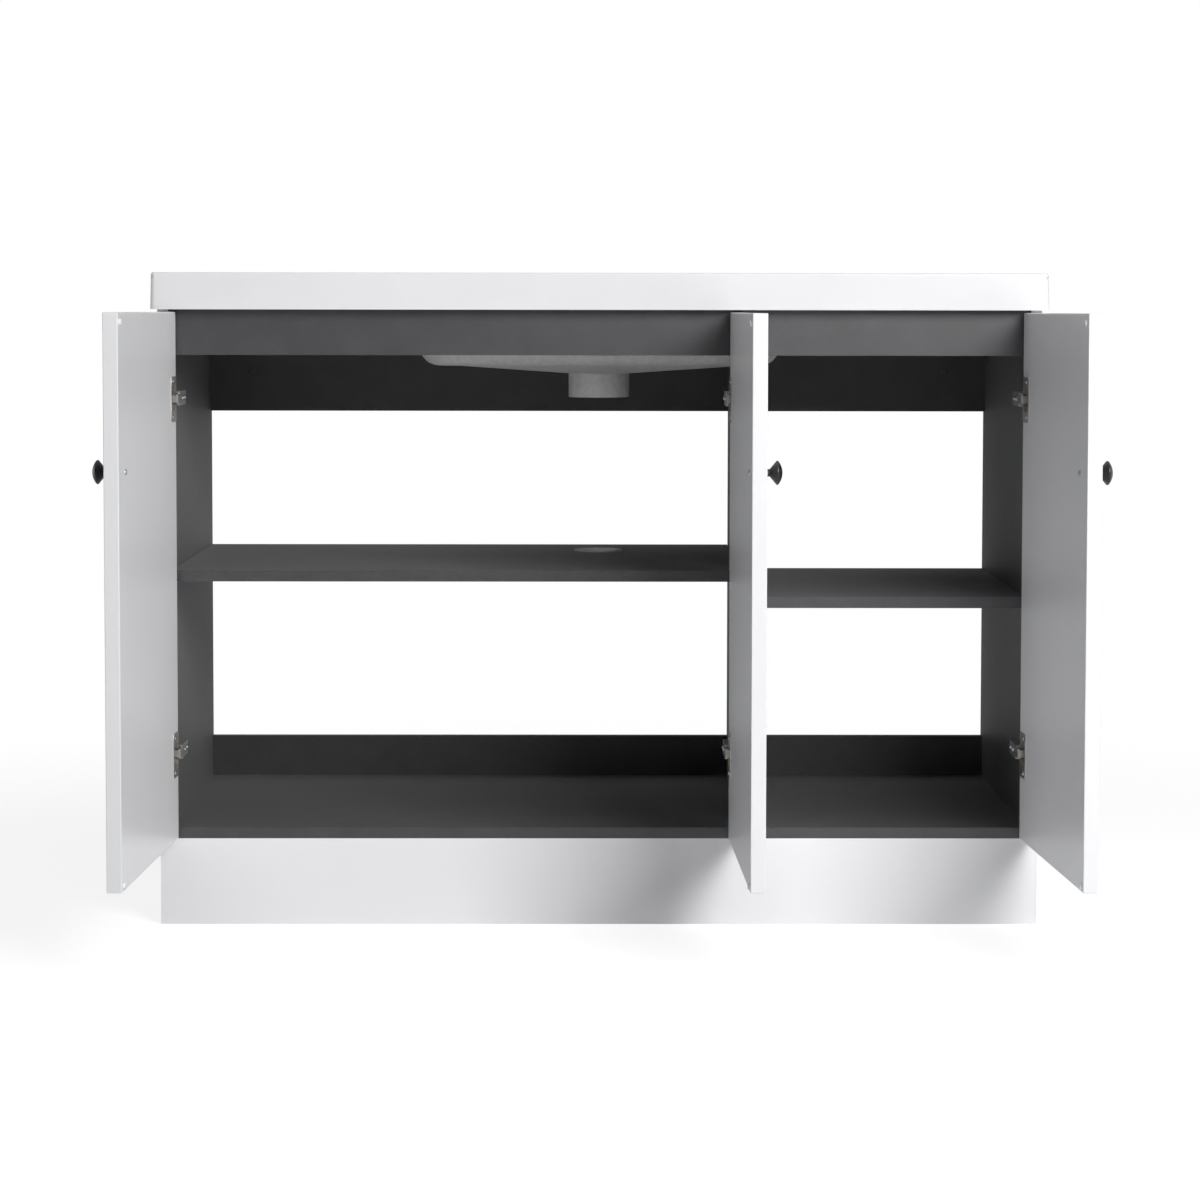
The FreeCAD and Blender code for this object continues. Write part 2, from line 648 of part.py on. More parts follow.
def door_assembly(door):
    spec = DOORS[door]
    hand = spec["hand"]
    outer = "(Sizes.pivot_depth - Sizes.door_thickness)"
    inner = size("pivot_depth")
    blank = box("slab", mirrored(hand, "0 - Sizes.pivot_inset", DOOR_WIDTH), outer, DOOR_LOW,
                DOOR_WIDTH, size("door_thickness"), f"{DOOR_TOP} - {DOOR_LOW}")
    doc.recompute()
    eased = doc.addObject("Part::Fillet", "slab_eased")
    eased.Base = blank
    radius = number(size("door_edge_radius"))
    eased.Edges = [(edge, radius, radius) for edge in range(1, 13)]
    bores = []

    # cups, pins and cup screws
    pins = []
    cup_screws = []
    cup_x = along(hand, "Sizes.cup_centre - Sizes.pivot_inset")
    inner_radius = "(Sizes.cup_radius - Sizes.cup_wall)"
    shell_depth = "(Sizes.cup_depth + Sizes.cup_wall)"
    for level, z in LEVELS.items():
        bores.append(cylinder("cup_hole", "Sizes.cup_radius + Sizes.fit",
                              f"{shell_depth} + Sizes.fit + Sizes.overcut",
                              cup_x, f"{inner} - {shell_depth} - Sizes.fit", z, "+y"))
        pot = cylinder("cup_pot", size("cup_radius"), f"{shell_depth} + Sizes.flange",
                       cup_x, f"{inner} - {shell_depth}", z, "+y")
        rim = cylinder("cup_rim", size("cup_rim_radius"), size("flange"), cup_x, inner, z, "+y")
        screw_line = "(Sizes.cup_centre + Sizes.cup_screw_offset - Sizes.pivot_inset)"
        wing_start = f"({screw_line} - Sizes.flange_width / 2)"
        wing = box("cup_wing", mirrored(hand, wing_start, size("flange_width")), inner,
                   f"{z} - Sizes.flange_height / 2", size("flange_width"), size("flange"),
                   size("flange_height"))
        hollow = cylinder("cup_hollow", inner_radius, "Sizes.cup_depth + Sizes.flange + Sizes.overcut",
                          cup_x, f"{inner} - Sizes.cup_depth", z, "+y")
        # the pin bridges the cup from wall to wall, through its axis of swing
        far = "(Sizes.cup_centre - Sizes.pivot_inset + Sizes.pivot_radius)"
        pin_half = f"(sqrt(Sizes.cup_radius ^ 2 - {far} ^ 2) - Sizes.fit)"
        pins.append(cylinder("hinge_pin", size("pivot_radius"), f"2 * {pin_half}", "0", "0",
                             f"{z} - {pin_half}"))
        pin_bore = cylinder("pin_bore", size("pivot_radius"), f"2 * {pin_half}", "0", "0",
                            f"{z} - {pin_half}")
        cup_bores = [hollow, pin_bore]
        for side in (-1, 1):
            spot = (along(hand, screw_line),
                    f"{inner} + Sizes.flange", along(side, "Sizes.cup_screw_pitch / 2", z))
            cup_screws.append(screw(f"cup_screw_{door}", size("screw_radius"), size("screw_length"),
                                    size("screw_head_radius"), "0.8 * Sizes.screw_head", "+y", *spot))
            shank = cylinder("cup_screw_bore", size("screw_radius"), "Sizes.screw_length + Sizes.overcut",
                             spot[0], f"{inner} + Sizes.flange + Sizes.overcut", spot[2], "-y")
            bores.append(shank)
            cup_bores.append(shank)
        piece(f"hinge_cup_{door}_{level}",
              swing(door, cut(f"cup_{door}_{level}", fuse("cup_blank", [pot, rim, wing]), cup_bores)))
    piece(f"hinge_pins_{door}", swing(door, compound(f"pins_{door}", pins)))
    piece(f"cup_screws_{door}", swing(door, compound(f"cup_screws_{door}", cup_screws)))

    # knob and its screw
    knob_x = along(hand, f"{DOOR_WIDTH} - Sizes.knob_inset - Sizes.pivot_inset")
    knob_z = f"({DOOR_TOP} - Sizes.knob_drop)"
    body = place(knob(door), knob_x, outer, knob_z, Rotation(Vector(0, 0, 1), 180))
    piece(f"knob_{door}", swing(door, compound(f"knob_seat_{door}", [body])))
    reach = "(Sizes.door_thickness + 0.6 * Sizes.knob_projection)"
    bolt = screw("knob_bolt", size("knob_screw_radius"), reach, size("knob_screw_head_radius"),
                 size("screw_head"), "+y", knob_x, inner, knob_z)
    piece(f"knob_screw_{door}", swing(door, compound(f"knob_screw_{door}", [bolt])))
    bores.append(cylinder("knob_bore", size("knob_screw_radius"),
                          "Sizes.door_thickness + 2 * Sizes.overcut",
                          knob_x, f"{outer} - Sizes.overcut", knob_z, "+y"))

    # bumpers near the free edge, on the stretches that meet the carcass
    bumpers = []
    bumper_x = along(hand, f"{DOOR_WIDTH} - Sizes.bumper_inset - Sizes.pivot_inset")
    for z in (f"{DOOR_LOW} + Sizes.bumper_rise", f"{DOOR_TOP} - Sizes.bumper_inset"):
        bumpers.append(cylinder("bumper", size("bumper_radius"), "Sizes.door_standoff - Sizes.bumper_gap",
                                bumper_x, inner, z, "+y"))
    piece(f"door_bumpers_{door}", swing(door, compound(f"bumpers_{door}", bumpers)))
    piece(f"door_{door}", swing(door, cut(f"door_{door}", eased, bores)))


for door in DOORS:
    door_assembly(door)

# ---- moulded top with an integral basin ----


def rounded_sketch(body, name, height, half_x, low_y, high_y, radius):
    """A rectangle with round corners on a level plane, every size tied to the sheet."""
    sketch = body.newObject("Sketcher::SketchObject", name)
    sketch.AttachmentSupport = [(origin_plane(body, "XY_Plane"), "")]
    sketch.MapMode = "FlatFace"
    sketch.setExpression(".AttachmentOffset.Base.z", height)
    x, y0, y1, r = (number(formula) for formula in (half_x, low_y, high_y, radius))
    ends = [
        (Vector(-x + r, y0), Vector(x - r, y0)),
        (Vector(x, y0 + r), Vector(x, y1 - r)),
        (Vector(x - r, y1), Vector(-x + r, y1)),
        (Vector(-x, y1 - r), Vector(-x, y0 + r)),
    ]
    centres = [Vector(x - r, y0 + r), Vector(x - r, y1 - r), Vector(-x + r, y1 - r), Vector(-x + r, y0 + r)]
    quarter = 1.5707963267948966
    for start, end in ends:
        sketch.addGeometry(Part.LineSegment(start, end), False)
    for index, centre in enumerate(centres):
        circle = Part.Circle(centre, Vector(0, 0, 1), r)
        sketch.addGeometry(Part.ArcOfCircle(circle, (index - 1) * quarter, index * quarter), False)
    for index in range(4):
        sketch.addConstraint(Sketcher.Constraint("Tangent", index, 2, 4 + index, 1))
        sketch.addConstraint(Sketcher.Constraint("Tangent", 4 + index, 2, (index + 1) % 4, 1))
    for index in (0, 2):
        sketch.addConstraint(Sketcher.Constraint("Horizontal", index))
    for index in (1, 3):
        sketch.addConstraint(Sketcher.Constraint("Vertical", index))
    for index in (5, 6, 7):
        sketch.addConstraint(Sketcher.Constraint("Equal", 4, index))
    named = {
        "radius": (Sketcher.Constraint("Radius", 4, r), radius),
        "right": (Sketcher.Constraint("DistanceX", -1, 1, 1, 1, x), half_x),
        "left": (Sketcher.Constraint("DistanceX", 3, 1, -1, 1, x), half_x),
        "low": (Sketcher.Constraint("DistanceY", -1, 1, 0, 1, y0), low_y),
        "high": (Sketcher.Constraint("DistanceY", -1, 1, 2, 1, y1), high_y),
    }
    for label, (constraint, formula) in named.items():
        index = sketch.addConstraint(constraint)
        sketch.renameConstraint(index, label)
        sketch.setExpression(f"Constraints.{label}", formula)
    return sketch


def disc_sketch(body, name, height, radius, centre_y):
    sketch = body.newObject("Sketcher::SketchObject", name)
    sketch.AttachmentSupport = [(origin_plane(body, "XY_Plane"), "")]
    sketch.MapMode = "FlatFace"
    sketch.setExpression(".AttachmentOffset.Base.z", height)
    sketch.addGeometry(Part.Circle(Vector(0, number(centre_y)), Vector(0, 0, 1), number(radius)), False)
    sketch.addConstraint(Sketcher.Constraint("PointOnObject", 0, 3, -2))
    for label, constraint, formula in (
        ("radius", Sketcher.Constraint("Radius", 0, number(radius)), radius),
        ("back", Sketcher.Constraint("DistanceY", -1, 1, 0, 3, number(centre_y)), centre_y),
    ):
        index = sketch.addConstraint(constraint)
        sketch.renameConstraint(index, label)
        sketch.setExpression(f"Constraints.{label}", formula)
    return sketch


def feature(body, kind, name, profile, **settings):
    item = body.newObject(f"PartDesign::{kind}", name)
    item.Profile = profile
    for key, setting in settings.items():
        if isinstance(setting, str):
            item.setExpression(key, setting)
        else:
            setattr(item, key, setting)
    doc.recompute()
    return item


def level_edges(item, height, reach_x, near_x=0, reach_y=None):
    """Names of the edges of item that lie at one height, and between near_x and reach_x."""
    names = []
    for index, edge in enumerate(item.Shape.Edges, 1):
        bounds = edge.BoundBox
        level = abs(bounds.ZMin - height) < 0.01 and abs(bounds.ZMax - height) < 0.01
        within = bounds.XMax < reach_x and bounds.XMin > -reach_x
        within = within and (reach_y is None or bounds.YMax < reach_y)
        beyond = max(abs(bounds.XMax), abs(bounds.XMin)) > near_x
        if level and within and beyond:
            names.append(f"Edge{index}")
    return names


def dress(body, kind, name, base, edges, amount):
    item = body.newObject(f"PartDesign::{kind}", name)
    item.Base = (base, edges)
    item.setExpression("Radius" if kind == "Fillet" else "Size", amount)
    doc.recompute()
    return item


def countertop():
    body = doc.addObject("PartDesign::Body", "countertop_body")
    low = size("body_height")
    skin_low = f"({TOP_FACE} - Sizes.top_skin)"
    centre = size("bowl_centre")
    edge = feature(body, "Pad", "slab", rounded_sketch(
        body, "slab_outline", low, "Sizes.top_width / 2", "0 - Sizes.top_overhang",
        size("body_depth"), size("top_corner_radius")),
        Length=size("top_edge"), TaperAngle="-1 * Sizes.top_draft")
    feature(body, "Pocket", "hollow", rounded_sketch(
        body, "hollow_outline", low, "Sizes.top_width / 2 - Sizes.rim_side",
        "Sizes.rim_front - Sizes.top_overhang", "Sizes.body_depth - Sizes.rim_back", size("hollow_radius")),
        Length="Sizes.top_edge - Sizes.top_skin", Reversed=True)
    bowl_half = "(Sizes.bowl_width / 2 + Sizes.bowl_wall)"
    outer = feature(body, "Pad", "bowl_outside", rounded_sketch(
        body, "bowl_outline", skin_low, bowl_half, f"{centre} - {BOWL_REACH}", f"{centre} + {BOWL_REACH}",
        "Sizes.bowl_corner_radius + Sizes.bowl_wall"),
        Length="Sizes.bowl_depth + Sizes.bowl_wall - Sizes.top_skin", Reversed=True,
        TaperAngle="-1 * Sizes.bowl_taper")
    floor_out = number(BOWL_LOW)
    half = number(f"{bowl_half} + Sizes.overcut")
    outer = dress(body, "Fillet", "bowl_round_outside", outer, level_edges(outer, floor_out, half),
                  "Sizes.bowl_fillet + Sizes.bowl_wall / 2")
    fall_low = "(Sizes.boss_radius - 0.1)"
    flat_half = "(Sizes.bowl_width / 2 - Sizes.bowl_floor_inset)"
    flat_reach = "(Sizes.bowl_length / 2 - Sizes.bowl_floor_inset)"

    def fall(name, kind, height, top_radius):
        upper = rounded_sketch(body, f"{name}_upper", height, flat_half, f"{centre} - {flat_reach}",
                               f"{centre} + {flat_reach}", size("bowl_floor_radius"))
        lower = rounded_sketch(body, f"{name}_lower", f"{height} - Sizes.bowl_fall", top_radius,
                               f"{centre} - {top_radius}", f"{centre} + {top_radius}",
                               f"{top_radius} - 0.5")
        loft = body.newObject(f"PartDesign::{kind}", name)
        loft.Profile = upper
        loft.Sections = [lower]
        loft.Ruled = True
        doc.recompute()
        return loft

    fall("fall_outside", "AdditiveLoft", BOWL_LOW, fall_low)
    feature(body, "Pad", "boss", disc_sketch(
        body, "boss_outline", f"{BASIN_LOW} + 3", size("boss_radius"), centre),
        Length="Sizes.boss_drop + 3", Reversed=True)
    inner = feature(body, "Pocket", "bowl_inside", rounded_sketch(
        body, "bowl_opening", TOP_FACE, "Sizes.bowl_width / 2", f"{centre} - Sizes.bowl_length / 2",
        f"{centre} + Sizes.bowl_length / 2", size("bowl_corner_radius")),
        Length=size("bowl_depth"), TaperAngle="-1 * Sizes.bowl_taper")
    floor_in = number(f"{TOP_FACE} - Sizes.bowl_depth")
    inner = dress(body, "Fillet", "bowl_round_inside", inner, level_edges(inner, floor_in, half),
                  size("bowl_fillet"))
    fall("fall_inside", "SubtractiveLoft", f"({TOP_FACE} - Sizes.bowl_depth)", "Sizes.drain_seat_radius")
    feature(body, "Pocket", "drain", disc_sketch(
        body, "drain_outline", TOP_FACE, size("drain_radius"), centre),
        Length="Sizes.bowl_depth + Sizes.bowl_wall + Sizes.bowl_fall + Sizes.boss_drop + Sizes.overcut")
    feature(body, "Pocket", "tap_hole", disc_sketch(
        body, "tap_outline", TOP_FACE, size("tap_hole_radius"), size("tap_hole_setback")),
        Length="Sizes.top_skin + Sizes.overcut")
    top = number(TOP_FACE)
    last = body.Tip
    bowl_back = number("Sizes.bowl_centre + Sizes.bowl_length / 2 + Sizes.overcut")
    lip = level_edges(last, top, half, near_x=number("2 * Sizes.tap_hole_radius"), reach_y=bowl_back)
    last = dress(body, "Fillet", "lip", last, lip, size("bowl_lip_radius"))
    width = number(size("top_width"))
    rim = level_edges(last, top, width, near_x=half)
    dress(body, "Fillet", "top_edges", last, rim, size("top_edge_radius"))
    return body


piece("countertop_basin", countertop())

# ---- boards with their bores, labels, checks and export ----

for name, blank in boards.items():
    piece(name, cut(f"{name}_cut", blank, holes[name]) if name in holes else compound(name, [blank]))

for name, item in pieces.items():
    item.Label = name
doc.recompute()

for item in doc.Objects:
    if "Invalid" in item.State or "Error" in item.State:
        raise RuntimeError(f"{item.Label} failed: {item.State}")
for name, item in pieces.items():
    if item.Shape.isNull() or not item.Shape.isValid():
        raise RuntimeError(f"{name} has no valid shape")

os.makedirs("parts", exist_ok=True)
for name, item in pieces.items():
    item.Shape.exportStep(f"parts/{name}.step")
print(len(pieces), "pieces written")
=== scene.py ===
import math

import bpy
from mathutils import Matrix, Vector


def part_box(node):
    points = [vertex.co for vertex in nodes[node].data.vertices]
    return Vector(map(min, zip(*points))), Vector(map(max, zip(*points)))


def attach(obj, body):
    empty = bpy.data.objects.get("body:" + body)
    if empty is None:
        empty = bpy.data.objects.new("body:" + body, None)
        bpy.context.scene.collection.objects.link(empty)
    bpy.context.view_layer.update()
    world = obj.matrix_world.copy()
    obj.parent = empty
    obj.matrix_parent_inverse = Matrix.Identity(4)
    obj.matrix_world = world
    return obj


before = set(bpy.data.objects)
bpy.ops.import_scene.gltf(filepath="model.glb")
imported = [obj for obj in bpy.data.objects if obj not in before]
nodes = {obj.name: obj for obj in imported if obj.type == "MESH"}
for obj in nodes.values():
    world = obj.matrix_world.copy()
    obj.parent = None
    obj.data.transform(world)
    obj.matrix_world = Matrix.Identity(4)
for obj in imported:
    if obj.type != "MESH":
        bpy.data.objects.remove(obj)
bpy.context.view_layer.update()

mm = 0.001
scene = bpy.context.scene
print("frame loaded,", len(nodes), "pieces")


def hexColour(code):
    parts = [int(code[i:i + 2], 16) / 255 for i in (1, 3, 5)]
    linear = [c / 12.92 if c <= 0.04045 else ((c + 0.055) / 1.055) ** 2.4 for c in parts]
    return (*linear, 1.0)


def addNode(tree, kind, sockets=None, to=None, stops=None, **settings):
    # a socket given another node's output is linked to it, and any other value is set on it;
    # stops are a ramp's places and colours, and the first output also goes to the socket "to"
    node = tree.nodes.new(kind)
    for name, value in settings.items():
        setattr(node, name, value)
    for key, value in (sockets or {}).items():
        if isinstance(value, bpy.types.NodeSocket):
            tree.links.new(value, node.inputs[key])
        else:
            node.inputs[key].default_value = value
    while stops and len(node.color_ramp.elements) < len(stops):
        node.color_ramp.elements.new(0.5)
    for at, (position, colour) in enumerate(stops or []):
        node.color_ramp.elements[at].position = position
        node.color_ramp.elements[at].color = hexColour(colour)
    if to:
        tree.links.new(node.outputs[0], to)
    return node


def newFinish(name, **surface):
    # a Principled surface; words_like_this stand for the sockets' names
    material = bpy.data.materials.new(name)
    material.use_nodes = True
    tree = material.node_tree
    shader = tree.nodes["Principled BSDF"]
    for key, value in surface.items():
        shader.inputs[key.replace("_", " ")].default_value = value
    place = addNode(tree, "ShaderNodeTexCoord").outputs["Object"]
    return material, tree, shader.inputs, place


def perSize(size):
    # a noise texture's scale from the size of its features in metres
    return 1 / size


# White painted MDF of the doors: sprayed two-part satin lacquer, flatted between coats.
# To the eye a clean neutral white, a faint orange peel in its reflections, and a strong
# mirror-like sheen when seen along the face.
doorLook = {
    "colours": [(0.35, "#EEEEF0"), (0.65, "#F1F1F2")], "patch": 260 * mm,
    "roughness": 0.32, "drift": 0.03, "ior": 1.5, "gloss": 0.5,
    "peel": 4.5 * mm, "peelHeight": 0.012 * mm,
}


def satinLacquer():
    look = doorLook
    material, tree, shader, place = newFinish(
        "satinWhiteLacquer", IOR=look["ior"], Roughness=look["roughness"],
        Specular_IOR_Level=look["gloss"])
    patch = addNode(tree, "ShaderNodeTexNoise",
                    {"Vector": place, "Scale": perSize(look["patch"]), "Detail": 2.0})
    addNode(tree, "ShaderNodeValToRGB", {"Fac": patch.outputs["Fac"]},
            to=shader["Base Color"], stops=look["colours"])
    addNode(tree, "ShaderNodeMapRange",
            {"Value": patch.outputs["Fac"], "To Min": look["roughness"] - look["drift"],
             "To Max": look["roughness"] + look["drift"]}, to=shader["Roughness"])
    peel = addNode(tree, "ShaderNodeTexNoise",
                   {"Vector": place, "Scale": perSize(look["peel"]), "Detail": 1.0})
    addNode(tree, "ShaderNodeBump",
            {"Height": peel.outputs["Fac"], "Distance": look["peelHeight"]}, to=shader["Normal"])
    return material


# White melamine foil pressed on chipboard, with an ABS edge band: a hair brighter than the
# doors, with a dead flat sheen and a very fine pearl from the press plate.
foilLook = {
    "colours": [(0.35, "#F1F1F3"), (0.65, "#F4F4F5")], "patch": 320 * mm,
    "roughness": 0.36, "ior": 1.5, "pearl": 1.4 * mm, "pearlHeight": 0.012 * mm,
}


def whiteFoil():
    look = foilLook
    material, tree, shader, place = newFinish(
        "whiteMelamineFoil", IOR=look["ior"], Roughness=look["roughness"])
    patch = addNode(tree, "ShaderNodeTexNoise",
                    {"Vector": place, "Scale": perSize(look["patch"]), "Detail": 2.0})
    addNode(tree, "ShaderNodeValToRGB", {"Fac": patch.outputs["Fac"]},
            to=shader["Base Color"], stops=look["colours"])
    pearl = addNode(tree, "ShaderNodeTexNoise",
                    {"Vector": place, "Scale": perSize(look["pearl"]), "Detail": 2.0})
    addNode(tree, "ShaderNodeBump",
            {"Height": pearl.outputs["Fac"], "Distance": look["pearlHeight"]},
            to=shader["Normal"])
    return material


# Graphite melamine inside the carcass: a matt pearl-pressed foil whose fine grains catch the
# light one by one, and which pales where it is seen at a low angle. The pressed grain is
# near 0.4 mm and is drawn at 1.3 mm so that it shows.
graphiteLook = {
    "colours": [(0.34, "#1D1D20"), (0.5, "#2D2D30"), (0.68, "#444449")],
    "roughness": 0.5, "drift": 0.08, "ior": 1.5, "gloss": 1.0,
    "sheen": 0.18, "sheenRoughness": 0.4, "sheenTint": "#FFFFFF",
    "grain": 1.3 * mm, "grainEdge": 0.65, "grainHeight": 0.05 * mm, "grainDepth": 0.6,
    "cloud": 45 * mm, "cloudShare": 0.22,
}


def graphiteMelamine():
    look = graphiteLook
    material, tree, shader, place = newFinish(
        "graphiteMelamine", IOR=look["ior"], Roughness=look["roughness"],
        Specular_IOR_Level=look["gloss"], Sheen_Weight=look["sheen"],
        Sheen_Roughness=look["sheenRoughness"], Sheen_Tint=hexColour(look["sheenTint"]))
    grain = addNode(tree, "ShaderNodeTexNoise",
                    {"Vector": place, "Scale": perSize(look["grain"]), "Detail": 3.0,
                     "Roughness": look["grainEdge"]})
    cloud = addNode(tree, "ShaderNodeTexNoise",
                    {"Vector": place, "Scale": perSize(look["cloud"]), "Detail": 3.0})
    blend = addNode(tree, "ShaderNodeMix",
                    {0: look["cloudShare"], "A": grain.outputs["Fac"],
                     "B": cloud.outputs["Fac"]})
    addNode(tree, "ShaderNodeValToRGB", {"Fac": blend.outputs[0]},
            to=shader["Base Color"], stops=look["colours"])
    addNode(tree, "ShaderNodeMapRange",
            {"Value": grain.outputs["Fac"], "From Min": 0.3, "From Max": 0.7,
             "To Min": look["roughness"] - look["drift"],
             "To Max": look["roughness"] + look["drift"]}, to=shader["Roughness"])
    addNode(tree, "ShaderNodeBump",
            {"Height": grain.outputs["Fac"], "Distance": look["grainHeight"],
             "Strength": look["grainDepth"]}, to=shader["Normal"])
    return material


# Raw core where a bore or a groove is cut: chipboard and MDF, tan, dusty and fully matt.
coreLook = {
    "colours": [(0.1, "#7D654A"), (0.7, "#B59B78")], "roughness": 0.9,
    "chip": 1.2 * mm, "chipHeight": 0.1 * mm,
}


def rawCore():
    look = coreLook
    material, tree, shader, place = newFinish("rawBoardCore", Roughness=look["roughness"])
    chips = addNode(tree, "ShaderNodeTexVoronoi",
                    {"Vector": place, "Scale": perSize(look["chip"])})
    addNode(tree, "ShaderNodeValToRGB", {"Fac": chips.outputs["Distance"]},
            to=shader["Base Color"], stops=look["colours"])
    addNode(tree, "ShaderNodeBump",
            {"Height": chips.outputs["Distance"], "Distance": look["chipHeight"]},
            to=shader["Normal"])
    return material


# Cast polymer top with a gelcoat face: mineral-filled resin from a polished mould, bright
# white, semi-gloss and faintly soft, since light goes a little way in at the edges.
gelcoatLook = {
    "colours": [(0.3, "#EFEFF1"), (0.7, "#F2F2F3")], "roughness": 0.24, "ior": 1.5,
    "gloss": 0.35, "coat": 0.2, "coatRoughness": 0.12, "soft": 0.06, "depth": 1.2 * mm,
    "softness": (1.0, 0.9, 0.8), "wave": 90 * mm, "waveHeight": 0.06 * mm, "waveDepth": 0.5,
}


def gelcoat():
    look = gelcoatLook
    material, tree, shader, place = newFinish(
        "whiteGelcoat", IOR=look["ior"], Roughness=look["roughness"],
        Specular_IOR_Level=look["gloss"], Coat_Weight=look["coat"],
        Coat_Roughness=look["coatRoughness"], Subsurface_Weight=look["soft"],
        Subsurface_Scale=look["depth"], Subsurface_Radius=look["softness"])
    wave = addNode(tree, "ShaderNodeTexNoise",
                   {"Vector": place, "Scale": perSize(look["wave"]), "Detail": 3.0})
    addNode(tree, "ShaderNodeValToRGB", {"Fac": wave.outputs["Fac"]},
            to=shader["Base Color"], stops=look["colours"])
    addNode(tree, "ShaderNodeBump",
            {"Height": wave.outputs["Fac"], "Distance": look["waveHeight"],
             "Strength": look["waveDepth"]}, to=shader["Normal"])
    return material


# The back of that casting, as it leaves the open side of the mould: the bare filled resin, matt
# and slightly lumpy.
# Its colours are greyer than the face: partly the resin's own duller white, partly painted shade
# for the underside of the top.
backShadeLook = {
    "colours": [(0.3, "#CBCBC9"), (0.7, "#DCDCDB")], "roughness": 0.62,
    "lump": 9 * mm, "lumpHeight": 0.12 * mm, "lumpDepth": 0.7,
}


def resinBackPaintedShade():
    look = backShadeLook
    material, tree, shader, place = newFinish("bareResinPaintedShade", Roughness=look["roughness"])
    lumps = addNode(tree, "ShaderNodeTexNoise",
                    {"Vector": place, "Scale": perSize(look["lump"]), "Detail": 4.0})
    addNode(tree, "ShaderNodeValToRGB", {"Fac": lumps.outputs["Fac"]},
            to=shader["Base Color"], stops=look["colours"])
    addNode(tree, "ShaderNodeBump",
            {"Height": lumps.outputs["Fac"], "Distance": look["lumpHeight"],
             "Strength": look["lumpDepth"]}, to=shader["Normal"])
    return material


# Knobs: turned zinc alloy under black stoved enamel. Deep black with a soft broad highlight
# and just enough tooth to break up the reflection.
knobLook = {
    "colours": [(0.35, "#0B0B0C"), (0.8, "#171718")], "roughness": 0.3, "ior": 1.52,
    "coat": 0.25, "coatRoughness": 0.18, "tooth": 1.0 * mm, "toothHeight": 0.012 * mm,
}


def blackEnamel():
    look = knobLook
    material, tree, shader, place = newFinish(
        "blackStovedEnamel", IOR=look["ior"], Roughness=look["roughness"],
        Coat_Weight=look["coat"], Coat_Roughness=look["coatRoughness"])
    tooth = addNode(tree, "ShaderNodeTexNoise",
                    {"Vector": place, "Scale": perSize(look["tooth"]), "Detail": 2.0})
    addNode(tree, "ShaderNodeValToRGB", {"Fac": tooth.outputs["Fac"]},
            to=shader["Base Color"], stops=look["colours"])
    addNode(tree, "ShaderNodeBump",
            {"Height": tooth.outputs["Fac"], "Distance": look["toothHeight"]},
            to=shader["Normal"])
    return material


def platedMetal(name, look):
    # a metal surface: tiny pits and draw lines under a bright film
    material, tree, shader, place = newFinish(
        name, Metallic=1.0, Roughness=look["roughness"])
    stretch = addNode(tree, "ShaderNodeMapping", {"Vector": place, "Scale": look["stretch"]})
    lines = addNode(tree, "ShaderNodeTexNoise",
                    {"Vector": stretch.outputs[0], "Scale": perSize(look["line"]),
                     "Detail": 3.0})
    addNode(tree, "ShaderNodeValToRGB", {"Fac": lines.outputs["Fac"]},
            to=shader["Base Color"], stops=look["colours"])
    addNode(tree, "ShaderNodeMapRange",
            {"Value": lines.outputs["Fac"], "From Min": 0.3, "From Max": 0.7,
             "To Min": look["roughness"] - 0.06, "To Max": look["roughness"] + 0.08},
            to=shader["Roughness"])
    addNode(tree, "ShaderNodeBump",
            {"Height": lines.outputs["Fac"], "Distance": look["lineHeight"],
             "Strength": 0.5}, to=shader["Normal"])
    return material


# Hinges and shelf pins: pressed steel, nickel plated from a matt bath. Warm light grey with a
# broad soft highlight and fine draw lines along the arm.
nickelLook = {
    "colours": [(0.3, "#C6C3BD"), (0.7, "#DEDBD5")], "roughness": 0.4, "line": 0.8 * mm,
    "stretch": (1, 0.12, 1), "lineHeight": 0.006 * mm,
}
# Screws and bolts: blue-passivated zinc plate, cooler and duller than nickel, but smoother.
zincLook = {
    "colours": [(0.3, "#9FA3A8"), (0.7, "#C6CACE")], "roughness": 0.34, "line": 0.6 * mm,
    "stretch": (1, 1, 1), "lineHeight": 0.01 * mm,
}
# Cam housings: die-cast zinc alloy as cast, darker, dull and pitted.
castLook = {
    "colours": [(0.3, "#85878A"), (0.7, "#A6A8AA")], "roughness": 0.5, "line": 1.1 * mm,
    "stretch": (1, 1, 1), "lineHeight": 0.03 * mm,
}

# Dowels: turned beech, pinkish tan with short dark rays along the grain, fully matt.
beechLook = {
    "colours": [(0.36, "#A9794F"), (0.62, "#D0A77B")], "roughness": 0.68,
    "ring": 4.2 * mm, "ray": 0.7 * mm, "rayHeight": 0.05 * mm, "stretch": (0.15, 1, 1),
}


def turnedBeech():
    look = beechLook
    material, tree, shader, place = newFinish("turnedBeech", Roughness=look["roughness"])
    along = addNode(tree, "ShaderNodeMapping", {"Vector": place, "Scale": look["stretch"]})
    rays = addNode(tree, "ShaderNodeTexNoise",
                   {"Vector": along.outputs[0], "Scale": perSize(look["ray"]), "Detail": 2.0})
    rings = addNode(tree, "ShaderNodeTexNoise",
                    {"Vector": along.outputs[0], "Scale": perSize(look["ring"]),
                     "Detail": 2.0})
    both = addNode(tree, "ShaderNodeMix",
                   {0: 0.5, "A": rays.outputs["Fac"], "B": rings.outputs["Fac"]})
    addNode(tree, "ShaderNodeValToRGB", {"Fac": both.outputs[0]},
            to=shader["Base Color"], stops=look["colours"])
    addNode(tree, "ShaderNodeBump",
            {"Height": rays.outputs["Fac"], "Distance": look["rayHeight"]},
            to=shader["Normal"])
    return material


# Ring in the pipe hole: injection-moulded ABS in light grey, satin with a spark-eroded grain.
ringLook = {
    "colours": [(0.3, "#C6C6C9"), (0.7, "#D6D6D9")], "roughness": 0.3, "ior": 1.53,
    "spark": 0.9 * mm, "sparkHeight": 0.02 * mm, "sparkDepth": 0.6,
}


